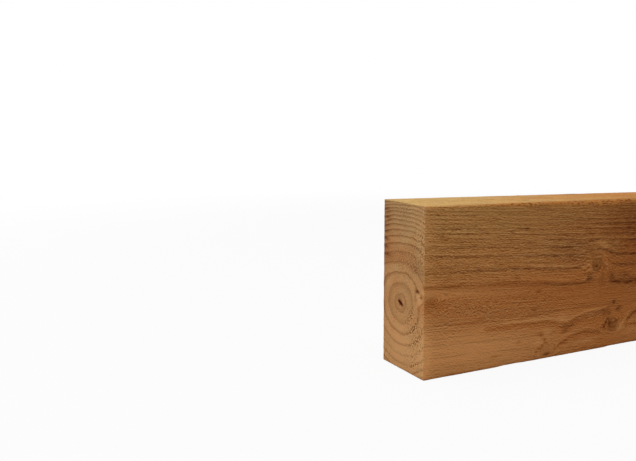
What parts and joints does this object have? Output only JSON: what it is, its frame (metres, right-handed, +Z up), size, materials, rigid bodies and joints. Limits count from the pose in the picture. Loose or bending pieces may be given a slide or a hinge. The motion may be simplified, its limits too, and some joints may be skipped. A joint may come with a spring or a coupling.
{
  "type": "treated timber beam",
  "caption": "Rough-sawn treated softwood beam of plain rectangular section with square-cut ends, eased long arrises and a heart check, for carrying floors, decks and roofs.",
  "frame": {"origin": "centre of the underside, on the floor that the beam stands on", "axes": "+X along the length, towards the far end; +Y across the width, from the front face to the back face; +Z up the depth"},
  "size_m": [1.8, 0.075, 0.15],
  "materials": {
    "sawn_timber": "matte"
  },
  "bodies": {
    "root": {"timber_beam": "sawn_timber"}
  },
  "joints": []
}
